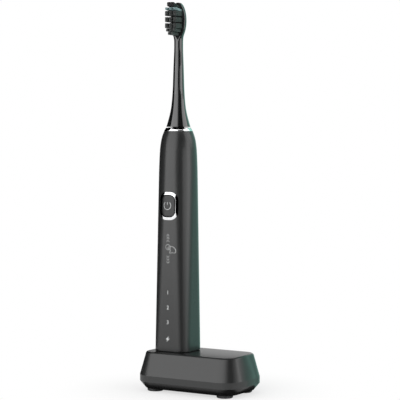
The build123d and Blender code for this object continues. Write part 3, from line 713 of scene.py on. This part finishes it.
# Up the socket's bore and round the skirt, then the neck, its throat and the oval head
def makeNeck():
    foot, throat = neckLow[2], head["throatFoot"]
    skirt = head["skirtRadius"]
    levels = [roundLevel(head["boreRadius"], head[end]) for end in ("boreTop", "boreFoot")]
    for inset, rise in ((head["skirtWall"], 0), (0.25 * mm, 0), (0.05 * mm, 0.12 * mm)):
        levels.append(roundLevel(skirt - inset, foot + rise))
    for step in range(1, head["neckRows"] + 1):
        height = blend(foot + 0.2 * mm, throat, (step / head["neckRows"]) ** 1.2)
        levels.append(roundLevel(curveThrough(head["neck"], height / mm) * mm, height))
    waist = head["neck"][-1][1] * mm
    joinSin = head["join"]
    joinCos = math.sqrt(1 - joinSin**2)
    joinZ = head["middle"] + head["halfHeight"] * joinSin
    joinWidth = head["halfWidth"] * joinCos
    flare = -head["halfWidth"] / head["halfHeight"] * joinSin / joinCos * (joinZ - throat)
    for step in range(1, head["throatRows"] + 1):
        t = step / (head["throatRows"] + 1)
        soft = t * t * (3 - 2 * t)
        width = blend(waist, joinWidth, soft) + flare * (t**3 - t**2)
        front, back = blend(-waist, head["front"], soft), blend(waist, head["back"] * 0.92, soft)
        levels.append(headLevel(blend(throat, joinZ, t), width, front, back, soft))
    for step in range(head["headRows"] + 1):
        turn = blend(math.asin(joinSin), math.pi / 2 - 0.03, step / head["headRows"])
        height = head["middle"] + head["halfHeight"] * math.sin(turn)
        width = head["halfWidth"] * math.cos(turn)
        thin = 1 - min(1.0, math.cos(turn) / head["thinning"]) if turn > 0 else 0.0
        edge = math.sqrt(1 - thin**2)
        swell = 0.92 + 0.08 * min(1.0, step / 14)
        front = blend(head["tipFront"], head["front"], edge)
        back = blend(head["tipBack"], head["back"] * swell, edge)
        levels.append(headLevel(height, width, front, back, 1.0))
    return stackLevels(circleOutline(head["segments"]), levels, capped=(True, True))


neckShell = addPiece(
    makeNeck(), "neckShell", glossBlack, "brush_head", ["brush_neck"], sharp=48,
)
neckShell.data.materials.append(plateBlack)
for face in neckShell.data.polygons:
    if face.center.z > 252 * mm and face.normal.y < -0.8:
        face.material_index = 1                   # the face that the bristles stand in

# rows: columns, pitch, tuft width, root height, tip height, size along Z, share of it at the root
tuftRows = {
    "tipTufts": ("tip_bristles", nylonDark, [(1, 0, 6.0, 271.5, 273.95, 3.0, 0.62)]),
    # the second row's teal colour is a painted reflection
    "secondTufts": (None, nylonTealGlint, [(3, 3.2, 2.7, 269.6, 270.8, 1.9, 0.8)]),
    "fieldTufts": ("field_bristles", nylonBlack, [
        (3, 3.4, 2.75, z, z, 3.75, 0.94) for z in (267.4, 263.1, 258.8)
    ]),
    "heelTufts": ("heel_bristles", nylonBlack, [
        (3, 2.7, 2.2, 255.5, 255.8, 2.3, 0.94), (2, 2.4, 2.1, 253.1, 253.4, 2.2, 0.94),
    ]),
}
tuft = {"spacing": 0.23 * mm, "thick": 0.112 * mm, "sides": 5, "crown": 0.4 * mm, "stray": 0.03 * mm}


# Plants one bundle of filaments, its outer ones a little shorter
def plantTuft(bm, x, wide, rootZ, tipZ, tall, gathered):
    columns = round(wide / tuft["spacing"])
    rows = round(tall / tuft["spacing"])
    for i in range(columns):
        for k in range(rows):
            across = ((i + 0.5) / columns - 0.5) * 2
            up = ((k + 0.5) / rows - 0.5) * 2
            if abs(across) ** 5 + abs(up) ** 5 > 1.25:
                continue
            dx = across * (wide / 2 - tuft["thick"]) + random.uniform(-1, 1) * tuft["stray"]
            dz = up * (tall / 2 - tuft["thick"]) + random.uniform(-1, 1) * tuft["stray"]
            crown = tuft["crown"] * max(abs(across), abs(up)) ** 3
            reach = head["bristle"] - crown - random.uniform(0, 0.16) * mm
            root = Vector((x + dx * 0.96, head["front"] + 0.1 * mm, rootZ + dz * gathered))
            tip = Vector((x + dx, head["front"] - reach, tipZ + dz))
            along = tip - root
            turn = along.to_track_quat("Z", "Y").to_matrix().to_4x4()
            bmesh.ops.create_cone(
                bm, cap_ends=True, cap_tris=False, segments=tuft["sides"], radius1=tuft["thick"],
                radius2=tuft["thick"] * 0.72, depth=along.length,
                matrix=Matrix.Translation((root + tip) / 2) @ turn,
            )


for name, (node, material, rows) in tuftRows.items():
    bm = bmesh.new()
    for columns, pitch, wide, rootZ, tipZ, tall, gathered in rows:
        for column in range(columns):
            x = brushX + (column - (columns - 1) / 2) * pitch * mm
            plantTuft(bm, x, wide * mm, rootZ * mm, tipZ * mm, tall * mm, gathered)
    addPiece(bm, name, material, "brush_head", [node] if node else (), sharp=80)
print("brush head made")

base = {
    "straight": (26.5 * mm, 6.5 * mm),           # less than the plan's, so the ends shade as crowned
    "rim": 1.7 * mm, "top": 28 * mm,
    "draft": math.atan(4.6 / 16.3), "undercut": -math.atan(4.4 / 5.2),       # inset over height
    "follow": 0.88,                              # faces that turn further from the walls stay as they are
}


# Shades the drafted walls as the rounded surfaces that their facets stand for
def shadeWalls(piece, rise):
    mesh = piece.data
    normals = [corner.vector.copy() for corner in mesh.corner_normals]
    for face in mesh.polygons:
        for loop in face.loop_indices:
            point = mesh.vertices[mesh.loops[loop].vertex_index].co
            start = [max(-limit, min(limit, place)) for limit, place in zip(base["straight"], point)]
            side = Vector((point.x - start[0], point.y - start[1])).normalized()
            lift = rise(point.z, face.normal.z)
            normal = Vector((side.x * math.cos(lift), side.y * math.cos(lift), math.sin(lift)))
            if normal.dot(face.normal) > base["follow"]:
                normals[loop] = normal
    mesh.normals_split_custom_set(normals)


def housingRise(height, facing):
    over = (height - base["top"] + base["rim"]) / base["rim"]
    return math.pi / 2 if facing > 0.995 else max(base["draft"], math.asin(max(-1.0, min(1.0, over))))


def trayRise(height, facing):
    return base["undercut"] if facing < -0.3 else 0.0


shadeWalls(smoothCopy("base_housing", "baseTop", baseGrey, weigh=False), housingRise)
shadeWalls(smoothCopy("base_tray", "baseTray", trayGrey, weigh=False), trayRise)
smoothCopy("rubber_feet", "tableFeet", footRubber)
smoothCopy("bottom_cap", "footCap", handleGrey)
smoothCopy("drive_shaft", "driveShaft", turnedSteel)
smoothCopy("shaft_seal", "shaftSeal", sealRubber)
smoothCopy("nose_hub", "noseHub", handleGrey)

innerFinish = {
    innerWhite: "transmitter_bobbin receiver_bobbin inner_chassis neck_insert",
    chipBlack: "usb_tongue tact_switch switch_plunger",
    sealRubber: "cap_seal nose_seal button_gasket",
    turnedSteel: "ballast_plate base_screws usb_shell battery_tabs motor_can motor_end_plates stator_core "
                 "motor_screws rotor_yoke rotor_magnets return_spring shaft_clip",
    cellWrap: "battery_cell",
    copperWire: "transmitter_coil receiver_coil stator_coils",
    sinteredBronze: "shaft_bushes",
    ferriteGrey: "transmitter_core",
    boardGreen: "charger_pcb main_pcb",
    clearAcrylic: "led_chips light_guide",
}
for material, names in innerFinish.items():
    for name in names.split():
        mesh = frame["nodes"][name].data
        if not mesh.materials:
            mesh.materials.append(material)
        for index in range(len(mesh.materials)):
            mesh.materials[index] = material
print("inner pieces finished")

studio = {
    "cameraAzimuth": 31.75, "cameraDistance": 1.088, "cameraHeight": 0.1853,
    "lens": 137.4, "lookDown": 2.617, "lookRight": 0.816, "roll": 0.176,
    "worldDiffuse": 0.6, "floorColour": 0.96, "floorFade": (0.035, 0.11), "floorGlow": 0.65,
}
# azimuth from the camera, distance, middle height, width, height, radiance
lamps = {
    "leftLow": (-50.5, 0.95, 0.17, 1.31, 0.34, 1.75),
    "leftHigh": (-45.5, 0.95, 0.82, 1.57, 0.96, 1.5),
    "rightLow": (51, 0.95, 0.17, 0.91, 0.34, 1.9),
    "rightHigh": (76.5, 0.95, 0.82, 0.99, 0.96, 1.3),
}
# cards that only reflections see: azimuth, distance, middle height, width, height, colour, and
# whether the card lies flat and how wide its near edge is
cards = {
    "frontFlag": (18, 1.45, 0.8, 2.1, 1.6, (0, 0, 0)),
    "leftFlag": (-125, 1.1, 0.8, 1.90, 1.6, (0, 0, 0)),
    "tealLow": (125, 1.1, 0.17, 1.75, 0.34, (0.40, 0.77, 0.67)),
    "tealHigh": (134.5, 1.1, 0.80, 1.20, 0.92, (0.42, 0.79, 0.69)),
    "tealFloor": (125, 0.62, 0.0005, 1.20, 0.96, (0.40, 0.77, 0.67), True),
    "tealNear": (112, 0.095, 0.0004, 0.11, 0.09, (0.30, 0.58, 0.50), True),
    "rightFloorFlag": (23, 0.8, 0.0005, 1.35, 1.30, (0, 0, 0), True, 0.1),
    "leftFloorFlag": (-139, 0.63, 0.0005, 1.60, 0.90, (0, 0, 0), True, 0.17),
    # painted shade: a black card on the floor under the base stands in for the shaded floor that the
    # undercut reflects
    "underFlag": (58.25, 0.0182, 0.0003, 0.046, 0.08, (0, 0, 0), True),
    "overheadFlag": (0, 0.0, 1.65, 2.0, 2.0, (0, 0, 0), True),
    "backFlag": (179, 1.15, 0.85, 0.95, 1.0, (0, 0, 0)),
}


def around(azimuth, distance, height):
    turn = math.radians(azimuth)
    return Vector((brushX + distance * math.sin(turn), -distance * math.cos(turn), height))


def aim(thing, target):
    thing.rotation_euler = (Vector(target) - thing.location).to_track_quat("-Z", "Y").to_euler()


def addLamp(name, azimuth, distance, height, width, tall, radiance):
    lamp = bpy.data.lights.new(name, "AREA")
    lamp.shape, lamp.size, lamp.size_y = "RECTANGLE", width, tall
    lamp.energy = radiance * math.pi * width * tall
    holder = bpy.data.objects.new(name, lamp)
    holder.location = around(studio["cameraAzimuth"] + azimuth, distance, height)
    aim(holder, (brushX, 0, height))
    bpy.context.scene.collection.objects.link(holder)


def addCard(name, azimuth, distance, height, width, tall, colour, lying=False, nearShare=1.0):
    bm = bmesh.new()
    bmesh.ops.create_grid(bm, x_segments=1, y_segments=1, size=0.5)
    bmesh.ops.scale(bm, vec=(nearShare, 1, 1), verts=[vert for vert in bm.verts if vert.co.y > 0])
    bmesh.ops.scale(bm, vec=(width, tall, 1), verts=bm.verts)
    card = linkMesh(bm, name)
    card.location = around(studio["cameraAzimuth"] + azimuth, distance, height)
    card.rotation_euler = (0 if lying else math.pi / 2, 0, math.radians(studio["cameraAzimuth"] + azimuth))
    material = bpy.data.materials.new(name)
    material.use_nodes = True
    nodes = material.node_tree.nodes
    nodes.clear()
    glow, end = nodes.new("ShaderNodeEmission"), nodes.new("ShaderNodeOutputMaterial")
    glow.inputs["Color"].default_value = (*colour, 1)
    material.node_tree.links.new(glow.outputs[0], end.inputs[0])
    card.data.materials.append(material)
    card.visible_camera = card.visible_diffuse = card.visible_shadow = card.visible_transmission = False


# 1 for rays that should find the white background, 0 for rays that carry light to the object
def backgroundRays(finish):
    names = ("Is Camera Ray", "Is Glossy Ray", "Is Transmission Ray")
    seen, mirrored, through = (finish.node("ShaderNodeLightPath", output=name) for name in names)
    return seen.math("MAXIMUM", seen, seen.math("MAXIMUM", mirrored, through))


def makeFloor():
    bm = bmesh.new()
    bmesh.ops.create_circle(bm, cap_ends=True, radius=9, segments=96)
    floor = linkMesh(bm, "floor")
    floor.location.z = cadBox[0][2] - 0.05 * mm
    level = studio["floorColour"]
    paint = Finish("floorPaint", Base_Color=(level, level, level, 1), Roughness=0.9, Specular_IOR_Level=0.1)
    away = paint.node("ShaderNodeVectorMath", {"operation": "LENGTH"}, {0: paint.place}, output="Value")
    near, far = studio["floorFade"]
    fade = paint.node(
        "ShaderNodeMapRange", {"interpolation_type": "SMOOTHSTEP"},
        {"Value": away, "From Min": near, "From Max": far},
    )
    white = paint.node("ShaderNodeEmission", None, {"Color": (1, 1, 1, 1)})
    share = studio["floorGlow"] + (1 - studio["floorGlow"]) * fade
    shown = paint.node("ShaderNodeMixShader", None, {0: share * backgroundRays(paint)})
    joins = shown.socket.node.inputs
    paint.tree.links.new(paint.surface.outputs[0], joins[1])
    paint.tree.links.new(white.socket, joins[2])
    paint.tree.links.new(shown.socket, paint.tree.nodes["Material Output"].inputs["Surface"])
    floor.data.materials.append(paint.material)


def makeWorld():
    world = bpy.data.worlds.new("studioWorld")
    bpy.context.scene.world = world
    world.use_nodes = True
    sky = Maker(world.node_tree)
    level = studio["worldDiffuse"]
    background = world.node_tree.nodes["Background"]
    sky.feed(background.inputs["Color"], (1, 1, 1, 1))
    sky.feed(background.inputs["Strength"], level + (1 - level) * backgroundRays(sky))


def makeCamera():
    camera = bpy.data.cameras.new("camera")
    camera.sensor_width = 36
    camera.lens = studio["lens"]
    camera.clip_end = 20
    holder = bpy.data.objects.new("camera", camera)
    bpy.context.scene.collection.objects.link(holder)
    holder.location = around(studio["cameraAzimuth"], studio["cameraDistance"], studio["cameraHeight"])
    turn = studio["cameraAzimuth"] - studio["lookRight"]
    holder.rotation_euler = (math.radians(90 - studio["lookDown"]), 0, math.radians(turn))
    holder.rotation_euler.rotate_axis("Z", math.radians(studio["roll"]))
    bpy.context.scene.camera = holder
    bpy.context.scene.view_settings.view_transform = "Standard"


makeCamera()
makeFloor()
makeWorld()
for name, values in lamps.items():
    addLamp(name, *values)
for name, values in cards.items():
    addCard(name, *values)
print("studio made")
